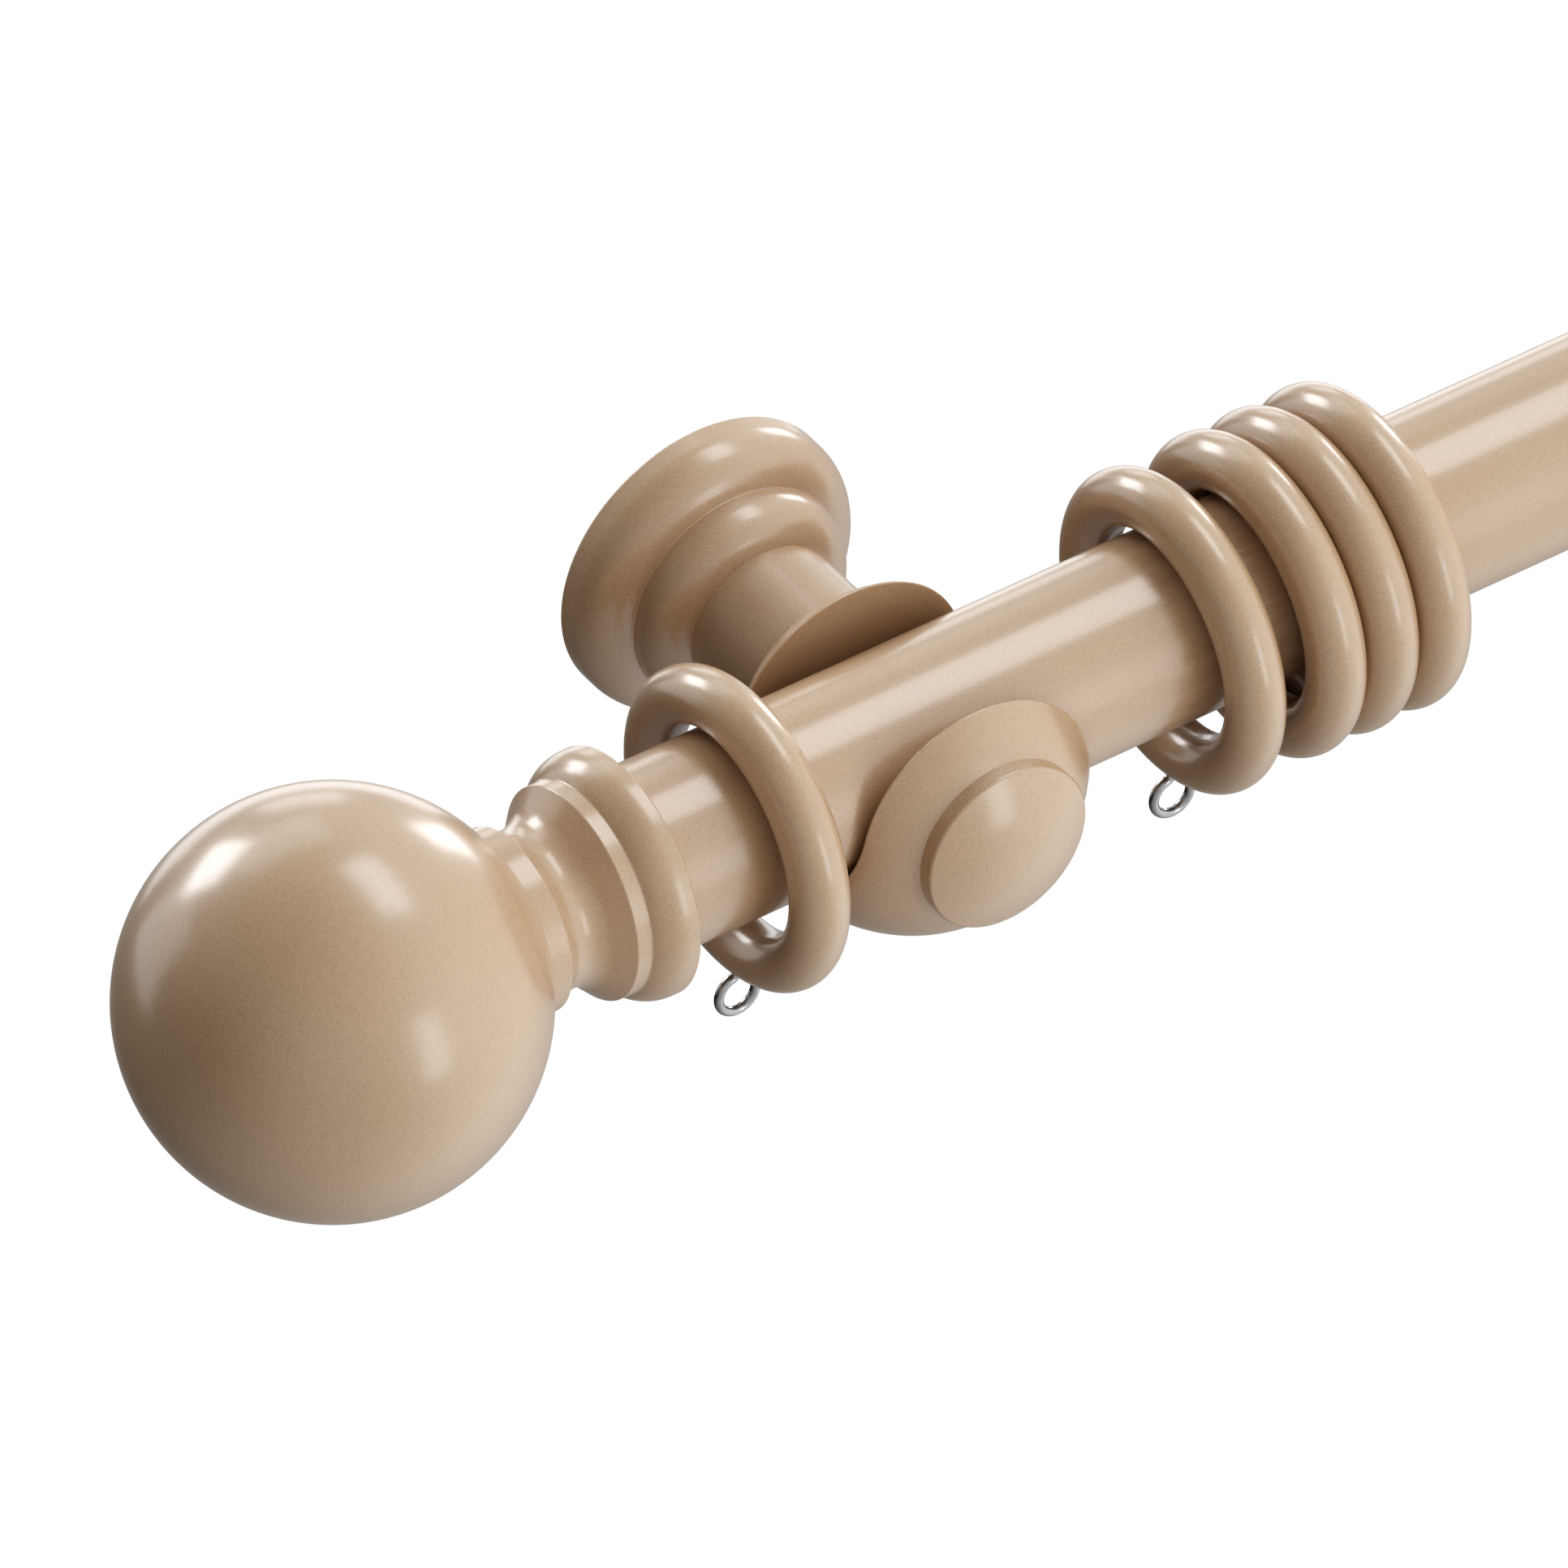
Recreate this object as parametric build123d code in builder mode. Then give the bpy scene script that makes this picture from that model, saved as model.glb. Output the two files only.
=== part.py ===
from build123d import *
import os
from math import asin, atan2, cos, degrees, hypot, sin, sqrt

os.makedirs("parts", exist_ok=True)

# A wooden curtain rod: a round pole with turned ball finials, carried in two turned
# cup brackets on wall roses, with wooden rings that slide on it and hold screw eyes.
# Lengths are in millimetres. The wall is the plane Y = 0 and the room is at -Y. X runs
# along the pole, and the origin lies midway between the two hanger bolts.

# Pole
pole_diameter = 28.0
pole_length = 1000.0
pole_end_chamfer = 0.5

# Ball finial, turned in one piece, from the ball towards the pole
ball_diameter = 62.3
collar_width = 3.3
collar_rise = 1.85
neck_diameter = 24.4
scotia_radius = 4.75
scotia_offset = 5.9
scotia_rise = 4.1
band_width = 2.35
ovolo_length = 6.6
ovolo_flat = 1.5
ovolo_rise = 2.55
finial_edge_round = 0.35

# Double-ended screw between a finial and the pole
dowel_diameter = 6.0
dowel_reach = 24.0
dowel_tip = 5.0

# Cup bracket, turned about an axis square to the wall
projection = 53.35
pole_rise = 3.5
bracket_offset = 49.0
cup_diameter = 50.0
channel_clearance = 1.4
channel_lip_round = 0.2
button_diameter = 26.7
button_height = 23.5
button_dome = 3.7
button_edge_round = 0.5
stem_diameter = 24.2
spigot_diameter = 16.0
spigot_length = 10.0

# Wall rose, turned in one piece
rose_rim = 2.85
rose_ovolo_length = 6.75
rose_ovolo_rise = 6.0
moulding_flat = 1.1
moulding_length = 5.95
moulding_rise = 5.1
rose_edge_round = 0.4

# Hanger bolt: a machine-threaded end for a wall anchor, and a thinner end through the
# rose into the stem
hanger_diameter = 8.0
hanger_bolt_diameter = 6.0
hanger_in_bracket = 30.0
hanger_in_wall = 14.0
hanger_chamfer = 1.0

# Screw that locks the pole in its cup, driven from below
lock_diameter = 3.5
lock_head_diameter = 7.0
lock_head_height = 2.4
lock_recess_diameter = 8.5
lock_recess_depth = 6.0
lock_bite = 10.0
lock_tip = 3.0

# Rings and their screw eyes
ring_slack = 3.9
ring_tube_diameter = 8.7
outer_ring_offset = 19.1
inner_ring_offset = 44.7
loose_gap = 5.1
eye_wire_diameter = 1.45
eye_hole_diameter = 4.8
eye_drop = 5.9
eye_bend_radius = 1.2
eye_bite = 6.0
eye_opening_angle = 62.0

# Clearances
glue_room = 0.5
socket_clearance = 0.1
screw_clearance = 0.05
bolt_clearance = 0.3
seat_clearance = 0.05
ring_rest_clearance = 0.2
stack_clearance = 0.3

# Half-width of the band in which a turned rim is picked
rim_band = 0.01

# Values that follow from the driving dimensions
pole_radius = pole_diameter / 2
pole_y = -projection
pole_z = pole_rise
neck_radius = neck_diameter / 2
collar_radius = neck_radius + collar_rise
band_radius = neck_radius + scotia_rise
base_radius = band_radius + ovolo_rise
ball_radius = ball_diameter / 2
stem_radius = stem_diameter / 2
moulding_radius = stem_radius + moulding_rise
rose_radius = moulding_radius + rose_ovolo_rise
rose_front = rose_rim + rose_ovolo_length
rose_thickness = rose_front + moulding_flat + moulding_length
cup_radius = cup_diameter / 2
channel_radius = pole_radius + channel_clearance
channel_z = pole_z - pole_radius - seat_clearance + channel_radius
bracket_x = pole_length / 2 - bracket_offset
lock_seat_z = -cup_radius + lock_recess_depth
ring_tube_radius = ring_tube_diameter / 2
ring_core_radius = (pole_diameter + ring_slack + ring_tube_diameter) / 2
ring_z = pole_z + pole_radius + ring_rest_clearance - ring_core_radius + ring_tube_radius
ring_bottom_z = ring_z - ring_core_radius - ring_tube_radius
stack_pitch = ring_tube_diameter + stack_clearance


def save(builder, name):
    """Label a finished piece and write it as its own STEP file."""
    builder.part.label = name
    export_step(builder.part, f"parts/{name}.step")


def ring_places():
    """Distances from the middle of the pole to the rings of one end, outermost first."""
    first_inner = bracket_x - inner_ring_offset
    second_inner = first_inner - ring_tube_diameter - loose_gap
    return [
        pole_length / 2 - outer_ring_offset,
        first_inner,
        second_inner,
        second_inner - stack_pitch,
        second_inner - 2 * stack_pitch,
    ]


def end_plane(side):
    """Profile plane of a finial: x runs outwards from the pole's end, y is the radius."""
    origin = (side * pole_length / 2, pole_y, pole_z)
    return Plane(origin=origin, x_dir=(side, 0, 0), z_dir=(0, -side, 0))


def bracket_plane(side):
    """Profile plane of a bracket: x runs from the wall into the room, y is the radius."""
    origin = (side * bracket_x, 0, 0)
    return Plane(origin=origin, x_dir=(0, -1, 0), z_dir=(-1, 0, 0))


def channel_plane(side):
    """Section plane of a cup's channel, on the axis of its round bottom."""
    origin = (side * bracket_x, pole_y, channel_z)
    return Plane(origin=origin, x_dir=(0, 1, 0), z_dir=(1, 0, 0))


def bracket_axis(side):
    """Axis that a bracket's pieces are turned about, out of the wall."""
    return Axis((side * bracket_x, 0, 0), (0, -1, 0))


def rims_at(builder, axis, place):
    """Round edges of a turned piece that lie at one place along an axis."""
    rims = builder.edges().filter_by(GeomType.CIRCLE)
    return rims.filter_by_position(axis, place - rim_band, place + rim_band)


def make_pole():
    """The round pole, drilled for its finials and for the two locking screws."""
    with BuildPart() as pole:
        with BuildSketch(Plane(origin=(-pole_length / 2, pole_y, pole_z), z_dir=(1, 0, 0))):
            Circle(pole_radius)
        extrude(amount=pole_length)
        chamfer(pole.edges().filter_by(GeomType.CIRCLE), pole_end_chamfer)
        for side in (-1, 1):
            with Locations(Plane(origin=(side * pole_length / 2, pole_y, pole_z), z_dir=(side, 0, 0))):
                Hole(dowel_diameter / 2 + screw_clearance, dowel_reach + glue_room)
            with Locations(Plane(origin=(side * bracket_x, pole_y, pole_z - pole_radius), z_dir=(0, 0, -1))):
                Hole(lock_diameter / 2 + screw_clearance, lock_bite + glue_room)
    return pole


def make_finial(side):
    """A ball finial: ovolo base, flat band, scotia, collar and ball in one turned profile."""
    band_start = ovolo_length
    band_end = band_start + band_width
    neck_x = band_end + scotia_offset
    scotia_centre = neck_radius + scotia_radius
    collar_start = neck_x + sqrt(scotia_radius**2 - (scotia_radius - collar_rise) ** 2)
    ball_start = collar_start + collar_width
    # The straight flank runs from the band's edge to where it touches the scotia's arc
    flank_lean = atan2(scotia_centre - band_radius, scotia_offset)
    flank_reach = hypot(scotia_centre - band_radius, scotia_offset)
    flank_angle = asin(scotia_radius / flank_reach) - flank_lean
    flank_x = neck_x - scotia_radius * sin(flank_angle)
    flank_radius = scotia_centre - scotia_radius * cos(flank_angle)
    ball_centre = ball_start + sqrt(ball_radius**2 - collar_radius**2)
    with BuildPart() as finial:
        with BuildSketch(end_plane(side)):
            with BuildLine():
                Polyline((0, base_radius), (ovolo_flat, base_radius))
                TangentArc((ovolo_flat, base_radius), (band_start, band_radius), tangent=(1, 0))
                Polyline((band_start, band_radius), (band_end, band_radius), (flank_x, flank_radius))
                ThreePointArc(
                    (flank_x, flank_radius),
                    (neck_x, neck_radius),
                    (collar_start, collar_radius),
                )
                Polyline((collar_start, collar_radius), (ball_start, collar_radius))
                ThreePointArc(
                    (ball_start, collar_radius),
                    (ball_centre, ball_radius),
                    (ball_centre + ball_radius, 0),
                )
                Polyline((ball_centre + ball_radius, 0), (0, 0), (0, base_radius))
            make_face()
        revolve(axis=Axis((0, pole_y, pole_z), (side, 0, 0)))
        base_x = side * pole_length / 2
        for distance in (0, band_end, collar_start):
            rims = rims_at(finial, Axis.X, base_x + side * distance)
            fillet(rims.sort_by(SortBy.RADIUS)[-1], finial_edge_round)
        with Locations(Plane(origin=(base_x, pole_y, pole_z), z_dir=(-side, 0, 0))):
            Hole(dowel_diameter / 2 + screw_clearance, dowel_reach + glue_room)
    return finial


def make_dowel(side):
    """The double-ended wood screw that draws a finial onto the pole's end."""
    radius = dowel_diameter / 2
    with BuildPart() as dowel:
        with BuildSketch(end_plane(side)):
            Polygon(
                (-dowel_reach, 0),
                (-dowel_reach + dowel_tip, radius),
                (dowel_reach - dowel_tip, radius),
                (dowel_reach, 0),
                align=None,
            )
        revolve(axis=Axis((0, pole_y, pole_z), (side, 0, 0)))
    return dowel


def make_arm(side):
    """A bracket arm: spigot, stem, ball-shaped cup with its U channel, and front button."""
    spigot_end = rose_thickness - spigot_length
    stem_end = projection - sqrt(cup_radius**2 - stem_radius**2)
    button_radius = button_diameter / 2
    button_root = projection + sqrt(cup_radius**2 - button_radius**2)
    button_front = projection + button_height
    dome_radius = (button_radius**2 + button_dome**2) / (2 * button_dome)
    dome_half_angle = asin(button_radius / dome_radius) / 2
    dome_centre = button_front + button_dome - dome_radius
    with BuildPart() as arm:
        with BuildSketch(bracket_plane(side)):
            with BuildLine():
                Polyline(
                    (spigot_end, 0),
                    (spigot_end, spigot_diameter / 2),
                    (rose_thickness, spigot_diameter / 2),
                    (rose_thickness, stem_radius),
                    (stem_end, stem_radius),
                )
                ThreePointArc(
                    (stem_end, stem_radius),
                    (projection, cup_radius),
                    (button_root, button_radius),
                )
                Polyline((button_root, button_radius), (button_front, button_radius))
                ThreePointArc(
                    (button_front, button_radius),
                    (
                        dome_centre + dome_radius * cos(dome_half_angle),
                        dome_radius * sin(dome_half_angle),
                    ),
                    (button_front + button_dome, 0),
                )
                Polyline((button_front + button_dome, 0), (spigot_end, 0))
            make_face()
        revolve(axis=bracket_axis(side))
        fillet(rims_at(arm, Axis.Y, -button_front), button_edge_round)
        with BuildSketch(channel_plane(side)):
            Circle(channel_radius)
            Rectangle(2 * channel_radius, cup_diameter, align=(Align.CENTER, Align.MIN))
        extrude(amount=cup_diameter, both=True, mode=Mode.SUBTRACT)
        fillet(arm.edges(Select.LAST).filter_by(GeomType.LINE, reverse=True), channel_lip_round)
        with Locations(Plane(origin=(side * bracket_x, -spigot_end, 0), z_dir=(0, 1, 0))):
            Hole(hanger_bolt_diameter / 2 + screw_clearance, hanger_in_bracket - spigot_end + glue_room)
        with Locations(Plane(origin=(side * bracket_x, pole_y, -cup_radius), z_dir=(0, 0, -1))):
            CounterBoreHole(
                lock_diameter / 2 + screw_clearance,
                lock_recess_diameter / 2,
                lock_recess_depth,
            )
    return arm


def make_rose(side):
    """A wall rose: flat back, rim, ovolo and a smaller moulding that the stem stands on."""
    with BuildPart() as rose:
        with BuildSketch(bracket_plane(side)):
            with BuildLine():
                Polyline((rose_thickness, 0), (0, 0), (0, rose_radius), (rose_rim, rose_radius))
                TangentArc((rose_rim, rose_radius), (rose_front, moulding_radius), tangent=(1, 0))
                Polyline((rose_front, moulding_radius), (rose_front + moulding_flat, moulding_radius))
                TangentArc(
                    (rose_front + moulding_flat, moulding_radius),
                    (rose_thickness, stem_radius),
                    tangent=(1, 0),
                )
                Polyline((rose_thickness, stem_radius), (rose_thickness, 0))
            make_face()
        revolve(axis=bracket_axis(side))
        fillet(rims_at(rose, Axis.Y, 0), rose_edge_round)
        with Locations(Plane(origin=(side * bracket_x, -rose_thickness, 0), z_dir=(0, -1, 0))):
            CounterBoreHole(
                hanger_bolt_diameter / 2 + bolt_clearance,
                spigot_diameter / 2 + socket_clearance,
                spigot_length + glue_room,
            )
    return rose


def make_hanger(side):
    """The hanger bolt: chamfered end for a wall anchor, thinner end in the bracket's stem."""
    radius = hanger_diameter / 2
    bolt_radius = hanger_bolt_diameter / 2
    with BuildPart() as hanger:
        with BuildSketch(bracket_plane(side)):
            Polygon(
                (-hanger_in_wall, 0),
                (-hanger_in_wall, radius - hanger_chamfer),
                (-hanger_in_wall + hanger_chamfer, radius),
                (0, radius),
                (0, bolt_radius),
                (hanger_in_bracket, bolt_radius),
                (hanger_in_bracket, 0),
                align=None,
            )
        revolve(axis=bracket_axis(side))
    return hanger


def make_lock_screw(side):
    """The round-headed wood screw that holds the pole down in its cup."""
    radius = lock_diameter / 2
    head_radius = lock_head_diameter / 2
    tip_z = pole_z - pole_radius + lock_bite
    axis_plane = Plane(origin=(side * bracket_x, pole_y, 0), x_dir=(1, 0, 0), z_dir=(0, -1, 0))
    with BuildPart() as screw:
        with BuildSketch(axis_plane):
            with BuildLine():
                Polyline(
                    (0, lock_seat_z - lock_head_height),
                    (0, tip_z),
                    (radius, tip_z - lock_tip),
                    (radius, lock_seat_z),
                    (head_radius, lock_seat_z),
                )
                TangentArc(
                    (0, lock_seat_z - lock_head_height),
                    (head_radius, lock_seat_z),
                    tangent=(1, 0),
                )
            make_face()
        revolve(axis=Axis((side * bracket_x, pole_y, 0), (0, 0, 1)))
    return screw


def make_ring(x):
    """A turned wooden ring on the pole, with a pilot hole for its eye."""
    with BuildPart() as ring:
        with BuildSketch(Plane(origin=(x, pole_y, ring_z), x_dir=(1, 0, 0), z_dir=(0, -1, 0))):
            with Locations((0, ring_core_radius)):
                Circle(ring_tube_radius)
        revolve(axis=Axis((x, pole_y, ring_z), (1, 0, 0)))
        with Locations(Plane(origin=(x, pole_y, ring_bottom_z), z_dir=(0, 0, -1))):
            Hole(eye_wire_diameter / 2 + screw_clearance, eye_bite + glue_room)
    return ring


def make_eye(x):
    """A screw eye bent from wire: shank, small bend and a loop that almost closes."""
    loop_radius = (eye_hole_diameter + eye_wire_diameter) / 2
    loop_z = ring_bottom_z - eye_drop
    bend_rise = sqrt((loop_radius + eye_bend_radius) ** 2 - eye_bend_radius**2)
    bend_turn = degrees(asin(bend_rise / (loop_radius + eye_bend_radius)))
    loop_start = 180 - bend_turn
    shank_top = eye_drop + eye_bite
    with BuildPart() as eye:
        with BuildLine(Plane(origin=(x, pole_y, loop_z), x_dir=(1, 0, 0), z_dir=(0, -1, 0))) as wire:
            Line((0, shank_top), (0, bend_rise))
            CenterArc((-eye_bend_radius, bend_rise), eye_bend_radius, 0, -bend_turn)
            CenterArc((0, 0), loop_radius, loop_start, 360 + eye_opening_angle - loop_start)
        with BuildSketch(Plane(origin=(x, pole_y, loop_z + shank_top), z_dir=(0, 0, -1))):
            Circle(eye_wire_diameter / 2)
        sweep(path=wire.wires()[0])
    return eye


save(make_pole(), "pole")
for side, end in ((-1, "left"), (1, "right")):
    save(make_finial(side), f"finial_{end}")
    save(make_dowel(side), f"finial_screw_{end}")
    save(make_arm(side), f"bracket_arm_{end}")
    save(make_rose(side), f"wall_rose_{end}")
    save(make_hanger(side), f"hanger_bolt_{end}")
    save(make_lock_screw(side), f"lock_screw_{end}")
    for number, place in enumerate(ring_places(), start=1):
        save(make_ring(side * place), f"ring_{end}_{number}")
        save(make_eye(side * place), f"screw_eye_{end}_{number}")
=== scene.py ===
import logging
from dataclasses import dataclass, field
from enum import Enum
from math import asin, atan2, cos, hypot, pi, radians, sin, sqrt, tan
from typing import Any, Iterable, Optional, Union

import bmesh
import bpy
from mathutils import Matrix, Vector


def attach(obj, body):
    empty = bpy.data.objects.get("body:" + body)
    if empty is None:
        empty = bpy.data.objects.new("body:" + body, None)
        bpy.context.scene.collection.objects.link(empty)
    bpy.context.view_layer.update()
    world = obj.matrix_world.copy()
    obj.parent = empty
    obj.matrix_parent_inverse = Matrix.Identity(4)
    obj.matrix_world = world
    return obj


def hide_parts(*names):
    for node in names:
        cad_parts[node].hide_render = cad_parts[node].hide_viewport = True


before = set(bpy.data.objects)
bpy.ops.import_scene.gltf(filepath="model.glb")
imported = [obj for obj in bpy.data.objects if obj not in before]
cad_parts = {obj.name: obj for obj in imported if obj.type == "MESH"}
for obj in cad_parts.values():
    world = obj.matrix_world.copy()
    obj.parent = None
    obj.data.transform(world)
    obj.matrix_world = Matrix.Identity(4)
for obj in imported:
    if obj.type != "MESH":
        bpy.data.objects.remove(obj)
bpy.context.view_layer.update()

log = logging.getLogger("curtain_rod")

MM = 0.001
MIDDLE = 0.5
WHITE, BLACK = (1.0, 1.0, 1.0, 1.0), (0.0, 0.0, 0.0, 1.0)
ACROSS, INTO_WALL, UP = Vector((1, 0, 0)), Vector((0, 1, 0)), Vector((0, 0, 1))
Point = tuple[float, float]
Way = tuple[float, float, float]
Colour = tuple[float, float, float, float]
Value = Union["Sock", float, int, bool, tuple, Vector, bpy.types.ID]
AXIS_INPUTS = dict.fromkeys(("Origin", "Axis", "Side"), "NodeSocketVector")


class End(Enum):
    """The two ends of the rod, with the sign of their side along X."""

    LEFT = -1
    RIGHT = 1

    @property
    def word(self) -> str:
        """The word that this end has in the frame's names."""
        return self.name.lower()


class Slot(Enum):
    """The record's material slots."""

    WOOD = "lacquered_wood"
    WIRE = "bright_wire"
    ZINC = "zinc_steel"


class Sock:
    """One node output that takes part in Python expressions on values."""

    def __init__(self, graph: "Graph", socket: bpy.types.NodeSocket) -> None:
        """Keep the socket and the graph that new Math nodes are added to."""
        self.graph = graph
        self.socket = socket

    def math(self, operation: str, *others: Value) -> "Sock":
        """Add a Math node on this value and the others, in that order."""
        return self.graph.math(operation, self, *others)

    def __add__(self, other: Value) -> "Sock":
        """This value plus another."""
        return self.math("ADD", other)

    def __sub__(self, other: Value) -> "Sock":
        """This value less another."""
        return self.math("SUBTRACT", other)

    def __rsub__(self, other: Value) -> "Sock":
        """Another value less this one."""
        return self.graph.math("SUBTRACT", other, self)

    def __mul__(self, other: Value) -> "Sock":
        """This value times another."""
        return self.math("MULTIPLY", other)

    def __truediv__(self, other: Value) -> "Sock":
        """This value over another."""
        return self.math("DIVIDE", other)

    __radd__ = __add__
    __rmul__ = __mul__


class Graph:
    """A node tree that is written as expressions."""

    def __init__(self, tree: bpy.types.NodeTree) -> None:
        """Keep the tree that nodes are added to."""
        self.tree = tree

    def node(
        self,
        kind: str,
        sockets: Optional[dict[Union[int, str], Value]] = None,
        settings: Optional[dict[str, Any]] = None,
        out: Union[int, str] = 0,
    ) -> Sock:
        """Add one node.

        Args:
            kind: The node's type name.
            sockets: Values or links for its inputs, by name or index.
            settings: Its own properties, which are set first.
            out: The output to return.

        Returns:
            The chosen output as a Sock.
        """
        made = self.tree.nodes.new(kind)
        for name, value in (settings or {}).items():
            setattr(made, name, value)
        self.fill(made, sockets or {})
        return Sock(self, made.outputs[out] if made.outputs else None)

    def fill(self, node: bpy.types.Node, sockets: dict[Union[int, str], Value]) -> None:
        """Set or link a node's inputs.

        Args:
            node: The node.
            sockets: Values or links for its inputs, by name or index.
        """
        for key, value in sockets.items():
            if isinstance(value, Sock):
                self.tree.links.new(value.socket, node.inputs[key])
            else:
                node.inputs[key].default_value = value

    def math(self, operation: str, *values: Value) -> Sock:
        """Add a Math node on one to three values."""
        return self.node("ShaderNodeMath", dict(enumerate(values)), {"operation": operation})

    def vector(self, operation: str, *values: Value, out: int = 0) -> Sock:
        """Add a Vector Math node on one or two vectors."""
        sockets = dict(enumerate(values))
        return self.node("ShaderNodeVectorMath", sockets, {"operation": operation}, out)

    def scaled(self, direction: Value, amount: Value) -> Sock:
        """Add a Vector Math node that scales a direction by an amount."""
        sockets = {0: direction, "Scale": amount}
        return self.node("ShaderNodeVectorMath", sockets, {"operation": "SCALE"})

    def blend(self, factor: Value, low: Value, high: Value) -> Sock:
        """Add a Mix node between two colours."""
        return self.node("ShaderNodeMix", {0: factor, 6: low, 7: high}, {"data_type": "RGBA"}, 2)

    def noise(self, place: Sock, scale: float, detail: float) -> Sock:
        """Add a Noise node of one size."""
        sockets = {"Vector": place, "Scale": scale, "Detail": detail}
        return self.node("ShaderNodeTexNoise", sockets)


class GeoTree(Graph):
    """A Geometry Nodes tree with named inputs, which ends in a finished mesh."""

    def __init__(self, name: str, inputs: dict[str, str]) -> None:
        """Make the tree's interface.

        Args:
            name: The tree's name.
            inputs: Socket types by input name, apart from the geometry and the finish.
        """
        super().__init__(bpy.data.node_groups.new(name, "GeometryNodeTree"))
        face = self.tree.interface
        face.new_socket("Geometry", in_out="INPUT", socket_type="NodeSocketGeometry")
        for label, kind in inputs.items():
            face.new_socket(label, in_out="INPUT", socket_type=kind)
        face.new_socket("Finish", in_out="INPUT", socket_type="NodeSocketMaterial")
        face.new_socket("Geometry", in_out="OUTPUT", socket_type="NodeSocketGeometry")
        self.entry = self.tree.nodes.new("NodeGroupInput")
        self.exit = self.tree.nodes.new("NodeGroupOutput")

    def input(self, label: str) -> Sock:
        """The group's input of that name."""
        return Sock(self, self.entry.outputs[label])

    def position_parts(self, source: Sock) -> tuple[Sock, Sock, Sock]:
        """The X, Y and Z of a vector."""
        split = self.node("ShaderNodeSeparateXYZ", {0: source}).socket.node
        return tuple(Sock(self, output) for output in split.outputs)

    def around(self, along: Sock, radius: Sock, angle: Sock) -> Sock:
        """A place given by its distance along the axis, its radius and its angle.

        Args:
            along: Distance from the origin along the axis.
            radius: Distance from the axis.
            angle: Turn about the axis, in radians.

        Returns:
            The place in the frame.
        """
        axis, side = self.input("Axis"), self.input("Side")
        third = self.vector("CROSS_PRODUCT", axis, side)
        place = self.vector("ADD", self.input("Origin"), self.scaled(axis, along))
        place = self.vector("ADD", place, self.scaled(side, radius * angle.math("COSINE")))
        return self.vector("ADD", place, self.scaled(third, radius * angle.math("SINE")))

    def close(self, shape: Sock, merge: float = 1e-6, crease: float = pi) -> None:
        """End the tree: weld, smooth, realize instances and set the finish.

        Args:
            shape: The geometry so far.
            merge: Distance within which points are welded, in metres.
            crease: Angle from which an edge stays sharp, in radians.
        """
        welded = {"Geometry": shape, "Distance": merge}
        shape = self.node("GeometryNodeMergeByDistance", welded)
        shape = self.node("GeometryNodeSetShadeSmooth", {"Geometry": shape})
        bent = self.node("GeometryNodeInputMeshEdgeAngle").math("GREATER_THAN", crease)
        sharp = {"Geometry": shape, "Selection": bent, "Shade Smooth": False}
        shape = self.node("GeometryNodeSetShadeSmooth", sharp, {"domain": "EDGE"})
        shape = self.node("GeometryNodeRealizeInstances", {"Geometry": shape})
        finished = {"Geometry": shape, "Material": self.input("Finish")}
        shape = self.node("GeometryNodeSetMaterial", finished)
        self.tree.links.new(shape.socket, self.exit.inputs["Geometry"])

    def run(self, name: str, seed: bpy.types.Mesh, values: dict[str, Value]) -> bpy.types.Object:
        """Evaluate the tree on a seed mesh and keep the result as a plain mesh.

        Args:
            name: The piece's name.
            seed: The mesh that the tree starts from.
            values: Values for the tree's inputs, by name.

        Returns:
            The finished piece, with its normals outwards.
        """
        piece = bpy.data.objects.new(name, seed)
        bpy.context.scene.collection.objects.link(piece)
        modifier = piece.modifiers.new("shape", "NODES")
        modifier.node_group = self.tree
        for item in self.tree.interface.items_tree:
            if item.in_out == "INPUT" and item.name in values:
                modifier[item.identifier] = values[item.name]
        graph = bpy.context.evaluated_depsgraph_get()
        mesh = bpy.data.meshes.new_from_object(piece.evaluated_get(graph), depsgraph=graph)
        piece.modifiers.clear()
        piece.data = mesh
        mesh.name = name
        bpy.data.meshes.remove(seed)
        outwards(mesh)
        return piece


def outwards(mesh: bpy.types.Mesh) -> None:
    """Turn the faces of a closed mesh outwards."""
    shape = bmesh.new()
    shape.from_mesh(mesh)
    bmesh.ops.recalc_face_normals(shape, faces=shape.faces)
    shape.to_mesh(mesh)
    shape.free()


def as_blank(piece: bpy.types.Object) -> bpy.types.Mesh:
    """Take a turned piece apart and keep its mesh as the blank for the next tool."""
    mesh = piece.data
    bpy.data.objects.remove(piece)
    return mesh


def polyline(name: str, points: Iterable[Way]) -> bpy.types.Mesh:
    """A mesh of points joined in a row.

    Args:
        name: The mesh's name.
        points: The points in order, in metres.

    Returns:
        The mesh.
    """
    places = list(points)
    mesh = bpy.data.meshes.new(name)
    mesh.from_pydata(places, [(i, i + 1) for i in range(len(places) - 1)], [])
    return mesh


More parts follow.
